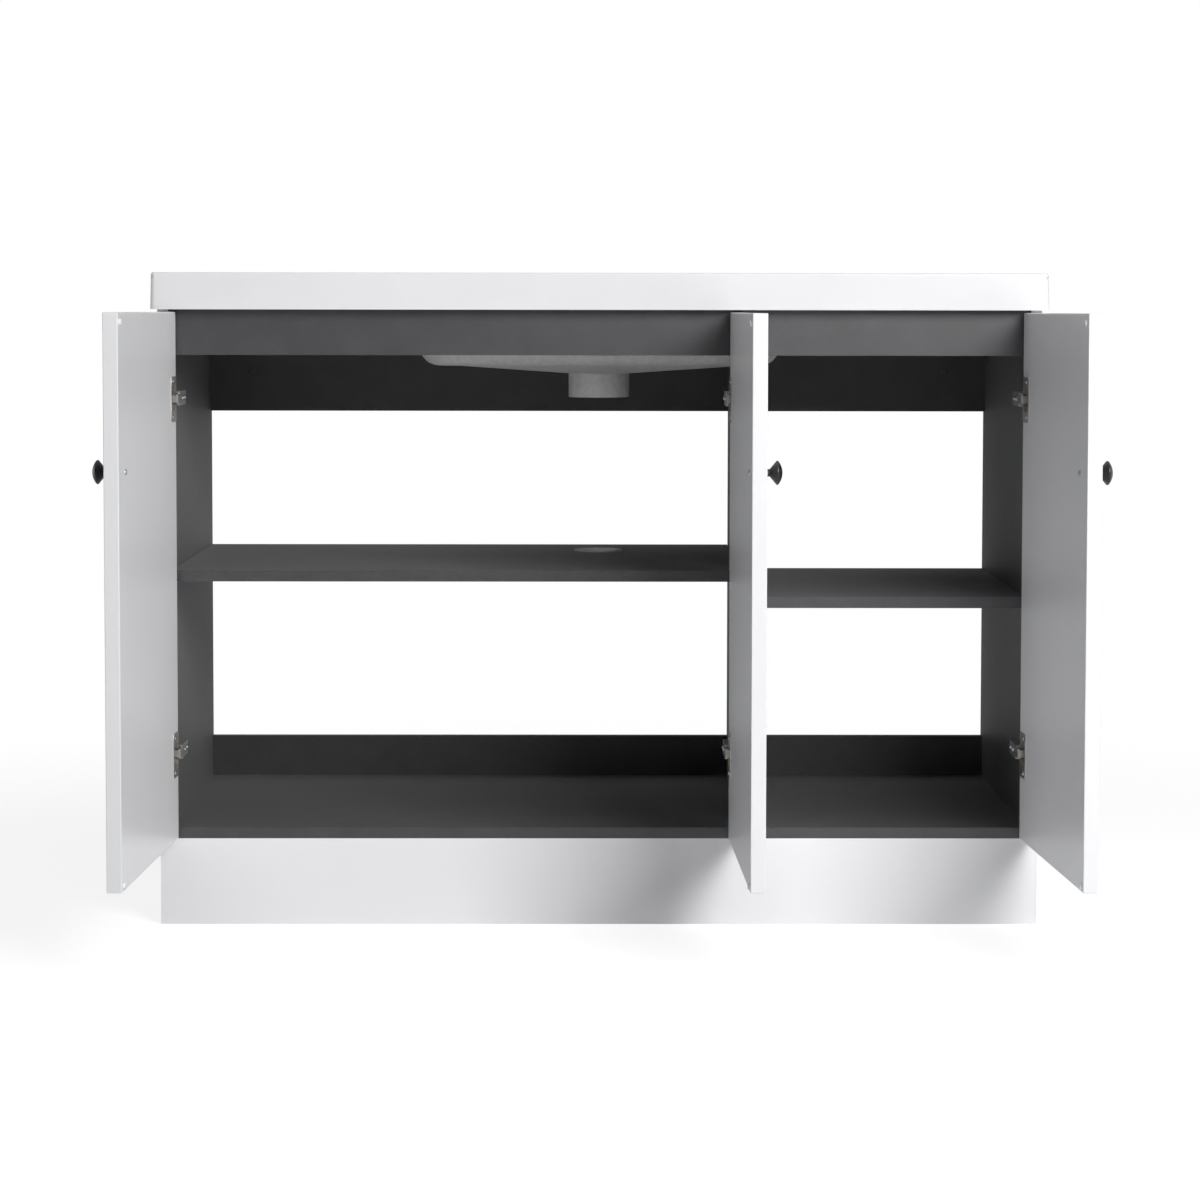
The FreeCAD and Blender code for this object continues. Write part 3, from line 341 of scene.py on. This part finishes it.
def mouldedAbs():
    look = ringLook
    material, tree, shader, place = newFinish(
        "greyMouldedAbs", IOR=look["ior"], Roughness=look["roughness"])
    spark = addNode(tree, "ShaderNodeTexNoise",
                    {"Vector": place, "Scale": perSize(look["spark"]), "Detail": 2.0})
    addNode(tree, "ShaderNodeValToRGB", {"Fac": spark.outputs["Fac"]},
            to=shader["Base Color"], stops=look["colours"])
    addNode(tree, "ShaderNodeBump",
            {"Height": spark.outputs["Fac"], "Distance": look["sparkHeight"],
             "Strength": look["sparkDepth"]}, to=shader["Normal"])
    return material


# Door bumpers: soft polyurethane drops, milky white with a dull shine.
bumperLook = {
    "colours": [(0.3, "#EDEDEE"), (0.7, "#F4F4F4")], "roughness": 0.4, "ior": 1.49,
    "soft": 0.3, "depth": 1.5 * mm, "cloud": 2.0 * mm,
}


def softPolyurethane():
    look = bumperLook
    material, tree, shader, place = newFinish(
        "clearPolyurethane", IOR=look["ior"], Roughness=look["roughness"],
        Subsurface_Weight=look["soft"], Subsurface_Scale=look["depth"])
    cloud = addNode(tree, "ShaderNodeTexNoise",
                    {"Vector": place, "Scale": perSize(look["cloud"]), "Detail": 2.0})
    addNode(tree, "ShaderNodeValToRGB", {"Fac": cloud.outputs["Fac"]},
            to=shader["Base Color"], stops=look["colours"])
    return material


lacquer = satinLacquer()
foil = whiteFoil()
graphite = graphiteMelamine()
core = rawCore()
gelcoatFace = gelcoat()
resin = resinBackPaintedShade()
enamel = blackEnamel()
nickel = platedMetal("satinNickelPlate", nickelLook)
zinc = platedMetal("passivatedZincPlate", zincLook)
castZinc = platedMetal("dieCastZinc", castLook)
beech = turnedBeech()
ringPlastic = mouldedAbs()
polyurethane = softPolyurethane()
print("finishes made")


def dress(name, *finishes):
    item = nodes[name]
    item.data.materials.clear()
    for finish in finishes:
        item.data.materials.append(finish)
    return item


# Boards: which faces show white foil, by the way they face; the other faces are graphite.
boardLook = {
    "side_panel_left": ("-x", "-y", "+y", "-z", "+z"),
    "side_panel_right": ("+x", "-y", "+y", "-z", "+z"),
    "plinth_board": ("-x", "+x", "-y", "+y", "-z", "+z"),
    "bottom_panel": (), "front_top_rail": (), "back_top_rail": (), "back_low_rail": (),
    "divider_panel": (), "shelf_left": (), "shelf_right": (),
}
skinDepth = 1.4 * mm  # a face set further in than this is cut into the board
flatFace = 0.999  # a face that lies square to an axis
graphiteAt, foilAt, coreAt = 0, 1, 2


def facing(normal):
    axis = max(range(3), key=lambda i: abs(normal[i]))
    return ("-" if normal[axis] < 0 else "+") + "xyz"[axis]


def dressBoard(name, whiteSides):
    item = dress(name, graphite, foil, core)
    low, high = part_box(name)
    for face in item.data.polygons:
        side = facing(face.normal)
        centre = face.center
        inside = all(low[i] + skinDepth < centre[i] < high[i] - skinDepth for i in range(3))
        # the divider's cut-away for the basin is edge banded like its outer edges
        banded = (name == "divider_panel" and side[1] != "x"
                  and max(face.normal, key=abs) ** 2 > flatFace)
        if inside and not banded:
            face.material_index = coreAt
        else:
            face.material_index = foilAt if side in whiteSides else graphiteAt


for name, whiteSides in boardLook.items():
    dressBoard(name, whiteSides)


def dressDoor(name):
    # lacquer outside, raw core in the bores, measured in the door's own turned axes
    item = dress(name, lacquer, core)
    broad = max(item.data.polygons, key=lambda face: face.area).normal.copy()
    axes = (broad, Vector((0, 0, 1)), broad.cross(Vector((0, 0, 1))))
    spans = []
    for axis in axes:
        reach = [vertex.co.dot(axis) for vertex in item.data.vertices]
        spans.append((min(reach), max(reach)))
    for face in item.data.polygons:
        inside = all(low + skinDepth < face.center.dot(axis) < high - skinDepth
                     for axis, (low, high) in zip(axes, spans))
        face.material_index = 1 if inside else 0


for name in ("door_left", "door_middle", "door_right"):
    dressDoor(name)

# Top: gelcoat wherever it is seen from outside or above, bare resin underneath, whose greyer
# colour is partly painted shade.
rim = {"halfWidth": 608.5 * mm, "front": -21.5 * mm, "back": 486.5 * mm, "upward": 0.02}
top = dress("countertop_basin", gelcoatFace, resin)
for face in top.data.polygons:
    centre = face.center
    onRim = abs(centre.x) > rim["halfWidth"] or not rim["front"] < centre.y < rim["back"]
    face.material_index = 0 if onRim or face.normal.z > rim["upward"] else 1

fittings = {
    "knob_": enamel, "knob_screw_": zinc, "cup_screws_": zinc, "arm_screws": zinc,
    "plate_screws": zinc, "cam_bolts": zinc, "hinge_": nickel, "shelf_pins_": nickel,
    "cam_housings": castZinc, "wood_dowels": beech, "pipe_grommet": ringPlastic,
    "door_bumpers_": polyurethane,
}
for name in nodes:
    match = max((key for key in fittings if name.startswith(key)), key=len, default=None)
    if match:
        dress(name, fittings[match])

# Cams that face the front wear a disc of the boards' own foil.
frontward = -0.9
cams = dress("cam_housings", castZinc, graphite)
for face in cams.data.polygons:
    face.material_index = 1 if face.normal.y < frontward else 0
print("pieces dressed")


bevelLook = {"name": "easedEdge", "segments": 2, "angle": 50}  # sharper folds than the angle


def easeEdges(item, width):
    ease = item.modifiers.new(bevelLook["name"], "BEVEL")
    ease.width = width
    ease.segments = bevelLook["segments"]
    ease.limit_method = "ANGLE"
    ease.angle_limit = math.radians(bevelLook["angle"])
    return ease


def buildPiece(name, corners, faces, finish, body):
    mesh = bpy.data.meshes.new(name)
    mesh.from_pydata(corners, [], faces)
    mesh.validate()
    piece = bpy.data.objects.new(name, mesh)
    scene.collection.objects.link(piece)
    mesh.materials.append(finish)
    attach(piece, body)
    return piece


# Press-in caps on the two wall fixing holes, dark like the board they sit in.
capLook = {
    "x": 526 * mm, "z": 752 * mm, "radius": 5 * mm, "proud": 1.2 * mm, "shoulder": 0.6,
    "crown": 0.7, "sides": 32,
}


def addCap(name, x):
    look = capLook
    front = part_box("back_top_rail")[0].y
    corners, faces = [], []
    for radius, y in ((look["radius"], front),
                      (look["radius"], front - look["proud"] * look["shoulder"]),
                      (look["radius"] * look["crown"], front - look["proud"])):
        for step in range(look["sides"]):
            turn = math.tau * step / look["sides"]
            corners.append((x + radius * math.cos(turn), y, look["z"] + radius * math.sin(turn)))
    sides = look["sides"]
    for ring in range(2):
        for step in range(sides):
            after = (step + 1) % sides
            faces.append((ring * sides + step, ring * sides + after,
                          (ring + 1) * sides + after, (ring + 1) * sides + step))
    faces.append(tuple(range(2 * sides, 3 * sides)))
    buildPiece(name, corners, faces, graphite, "root")


addCap("wallCapLeft", -capLook["x"])
addCap("wallCapRight", capLook["x"])

# The cups' flanges are pressed as rounded oblongs, straight along both long edges, and stand
# a hair above the plain wings of the CAD cups.
flangeLook = {
    "width": 37 * mm, "height": 61.5 * mm, "thick": 1.1 * mm, "hole": 16.9 * mm,
    "squareness": 9, "sides": 96, "ease": 0.3 * mm,
    "potBelow": 2 * mm,  # only the cup's pot lies this far under the door's face
}


def addFlange(door, level):
    look = flangeLook
    cup, panel = nodes[f"hinge_cup_{door}_{level}"], nodes[f"door_{door}"]
    broad = max(panel.data.polygons, key=lambda face: face.area).normal.copy()
    upward = Vector((0, 0, 1))
    panelReach = max(vertex.co.dot(broad) for vertex in panel.data.vertices)
    cupReach = max(vertex.co.dot(broad) for vertex in cup.data.vertices)
    normal = broad if cupReach > panelReach else -broad
    face = max(vertex.co.dot(normal) for vertex in panel.data.vertices)
    across = normal.cross(upward)
    pot = [vertex.co for vertex in cup.data.vertices
           if vertex.co.dot(normal) < face - look["potBelow"]]
    middle = [(min(co.dot(axis) for co in pot) + max(co.dot(axis) for co in pot)) / 2
              for axis in (across, upward)]
    corners, faces, sides, power = [], [], look["sides"], look["squareness"]
    for step in range(sides):
        turn = math.tau * step / sides
        aside, up = math.cos(turn), math.sin(turn)
        edge = ((abs(aside) * 2 / look["width"]) ** power
                + (abs(up) * 2 / look["height"]) ** power) ** (-1 / power)
        for radius in (look["hole"], edge):
            for depth in (0, look["thick"]):
                corners.append(across * (middle[0] + radius * aside) + normal * (face + depth)
                               + upward * (middle[1] + radius * up))
    for step in range(sides):
        here, after = 4 * step, 4 * ((step + 1) % sides)
        for a, b in ((0, 1), (1, 3), (3, 2), (2, 0)):
            faces.append((here + a, after + a, after + b, here + b))
    flange = buildPiece(f"flange_{door}_{level}", corners, faces, nickel, f"door_{door}")
    easeEdges(flange, look["ease"])


for door in ("left", "middle", "right"):
    for level in ("upper", "lower"):
        addFlange(door, level)
print("caps and flanges added")

# The edges of the boards, the hinge pressings and the turned parts are eased a little, as a
# cutter, a press tool or a sanding pad leaves them.
pressed = ("hinge_arm", "hinge_plate", "hinge_cup")
edgeEase = {
    "boards": (0.35 * mm, list(boardLook)),
    "pressings": (0.25 * mm, [name for name in nodes if name.startswith(pressed)]),
    "turnings": (0.15 * mm, [name for name in nodes
                             if "screw" in name or name.startswith(("cam_", "pipe_"))]),
}
for width, names in edgeEase.values():
    for name in names:
        easeEdges(nodes[name], width).harden_normals = True
print("edges eased")

# How much of the white room gloss sees, by where its ray points: along an axis, the share
# grows from nothing at the first figure to the third figure at the second.
roomGloss = [("X", 0.2, 0.6, 0.6), ("X", -0.6, -0.95, 0.4), ("Z", 0.55, 0.9, 0.5)]


def seenRays(tree, bearing):
    # 1 for rays from the camera and through clear parts; gloss sees white walls to either side
    # and a white ceiling, and shade straight ahead and behind
    path = addNode(tree, "ShaderNodeLightPath")
    along = addNode(tree, "ShaderNodeSeparateXYZ", {0: bearing})
    share = None
    for axis, start, end, most in roomGloss:
        part = addNode(tree, "ShaderNodeMapRange",
                       {"Value": along.outputs[axis], "From Min": start, "From Max": end,
                        "To Max": most}, interpolation_type="SMOOTHSTEP").outputs[0]
        share = part if share is None else addNode(
            tree, "ShaderNodeMath", {0: share, 1: part}, operation="MAXIMUM").outputs[0]
    gloss = addNode(tree, "ShaderNodeMath", {0: path.outputs["Is Glossy Ray"], 1: share},
                    operation="MULTIPLY")
    pair = addNode(tree, "ShaderNodeMath", {0: path.outputs["Is Camera Ray"],
                                            1: gloss.outputs[0]}, operation="MAXIMUM")
    three = addNode(tree, "ShaderNodeMath", {0: pair.outputs[0],
                                             1: path.outputs["Is Transmission Ray"]},
                    operation="MAXIMUM")
    return three.outputs[0]


# Floor: a pale seamless sheet. Near the object it takes shadow; further out it fades to white.
floorLook = {
    "side": 60.0, "bounce": "#E8E8E8", "seen": "#A8A8A8", "glow": 0.76,
    "fadeStart": 0.9, "fadeEnd": 2.2,
}


def makeFloor():
    look = floorLook
    half = look["side"] / 2
    mesh = bpy.data.meshes.new("studioFloor")
    corners = [(-half, -half, 0), (half, -half, 0), (half, half, 0), (-half, half, 0)]
    mesh.from_pydata(corners, [], [(0, 1, 2, 3)])
    floor = bpy.data.objects.new("studioFloor", mesh)
    scene.collection.objects.link(floor)
    material = bpy.data.materials.new("seamlessPaper")
    material.use_nodes = True
    tree = material.node_tree
    tree.nodes.clear()
    bounce = addNode(tree, "ShaderNodeBsdfDiffuse", {"Color": hexColour(look["bounce"])})
    seen = addNode(tree, "ShaderNodeBsdfDiffuse", {"Color": hexColour(look["seen"])})
    glow = addNode(tree, "ShaderNodeEmission", {"Strength": look["glow"]})
    white = addNode(tree, "ShaderNodeEmission", {"Strength": 1.0})
    near = addNode(tree, "ShaderNodeAddShader", {0: seen.outputs[0], 1: glow.outputs[0]})
    place = addNode(tree, "ShaderNodeTexCoord").outputs["Object"]
    reach = addNode(tree, "ShaderNodeVectorMath", {0: place}, operation="LENGTH")
    fade = addNode(tree, "ShaderNodeMapRange",
                   {"Value": reach.outputs["Value"], "From Min": look["fadeStart"],
                    "From Max": look["fadeEnd"]}, interpolation_type="SMOOTHSTEP")
    shown = addNode(tree, "ShaderNodeMixShader",
                    {0: fade.outputs[0], 1: near.outputs[0], 2: white.outputs[0]})
    bearing = addNode(tree, "ShaderNodeVectorMath", {0: place}, operation="NORMALIZE")
    either = seenRays(tree, bearing.outputs["Vector"])
    both = addNode(tree, "ShaderNodeMixShader",
                   {0: either, 1: bounce.outputs[0], 2: shown.outputs[0]})
    addNode(tree, "ShaderNodeOutputMaterial", {"Surface": both.outputs[0]})
    mesh.materials.append(material)


makeFloor()

# Studio: a large soft key from the front right, a fill from behind on the left for the far
# sides, a bright patch of ceiling overhead and dim walls. Turns are in degrees, to the right
# of the front and up; ceilingFrom and ceilingTo are a ray's upward part, from 0 to 1.
studio = {
    "softboxes": {
        "key": {"distance": 4.0, "right": 28, "up": 26, "side": 1.75, "watts": 127},
        "fill": {"distance": 4.0, "right": -108, "up": 12, "side": 2.2, "watts": 20},
    },
    "aim": (0.0, 0.0, 0.45),
    "tint": "#FBFCFF", "room": 0.045, "ceiling": 1.3, "ceilingFrom": 0.82, "ceilingTo": 1.0,
}


def makeStudio():
    for name, look in studio["softboxes"].items():
        lamp = bpy.data.lights.new(name, "AREA")
        lamp.shape = "SQUARE"
        lamp.size = look["side"]
        lamp.energy = look["watts"]
        softbox = bpy.data.objects.new(name, lamp)
        scene.collection.objects.link(softbox)
        right, up = math.radians(look["right"]), math.radians(look["up"])
        towards = Vector((math.sin(right) * math.cos(up), -math.cos(right) * math.cos(up),
                          math.sin(up)))
        softbox.location = Vector(studio["aim"]) + towards * look["distance"]
        softbox.rotation_euler = towards.to_track_quat("Z", "Y").to_euler()

    world = bpy.data.worlds.new("paleRoom")
    scene.world = world
    world.use_nodes = True
    tree = world.node_tree
    tree.nodes.clear()
    bearing = addNode(tree, "ShaderNodeTexCoord").outputs["Generated"]
    height = addNode(tree, "ShaderNodeSeparateXYZ", {0: bearing}).outputs["Z"]
    glow = addNode(tree, "ShaderNodeMapRange",
                   {"Value": height, "From Min": studio["ceilingFrom"],
                    "From Max": studio["ceilingTo"], "To Min": studio["room"],
                    "To Max": studio["ceiling"]}, interpolation_type="SMOOTHSTEP")
    room = addNode(tree, "ShaderNodeBackground",
                   {"Color": hexColour(studio["tint"]), "Strength": glow.outputs[0]})
    white = addNode(tree, "ShaderNodeBackground",
                    {"Color": hexColour("#FFFFFF"), "Strength": 1.0})
    both = addNode(tree, "ShaderNodeMixShader",
                   {0: seenRays(tree, bearing), 1: room.outputs[0], 2: white.outputs[0]})
    addNode(tree, "ShaderNodeOutputWorld", {"Surface": both.outputs[0]})


makeStudio()
scene.view_settings.view_transform = "Standard"
print("studio set")

# Camera, fitted to the edges of the photograph: place in metres, turns in radians, focal in
# pixels of the 1200-pixel frame.
viewpoint = {
    "place": (-0.0268, -4.1631, 0.8487), "aside": 0.0065, "down": 0.0566, "lean": 0.0014,
    "focal": 3051.1, "frame": 1200, "film": 36.0, "shift": -0.10,
    "farClip": 200,
}


def makeCamera():
    data = bpy.data.cameras.new("camera")
    data.sensor_width = viewpoint["film"]
    data.lens = viewpoint["focal"] * viewpoint["film"] / viewpoint["frame"]
    data.shift_y = viewpoint["shift"]
    data.clip_end = viewpoint["farClip"]
    camera = bpy.data.objects.new("camera", data)
    scene.collection.objects.link(camera)
    turn = (Matrix.Rotation(-viewpoint["aside"], 4, "Z")
            @ Matrix.Rotation(math.pi / 2 - viewpoint["down"], 4, "X")
            @ Matrix.Rotation(viewpoint["lean"], 4, "Z"))
    camera.matrix_world = Matrix.Translation(viewpoint["place"]) @ turn
    scene.camera = camera


makeCamera()
print("camera placed")
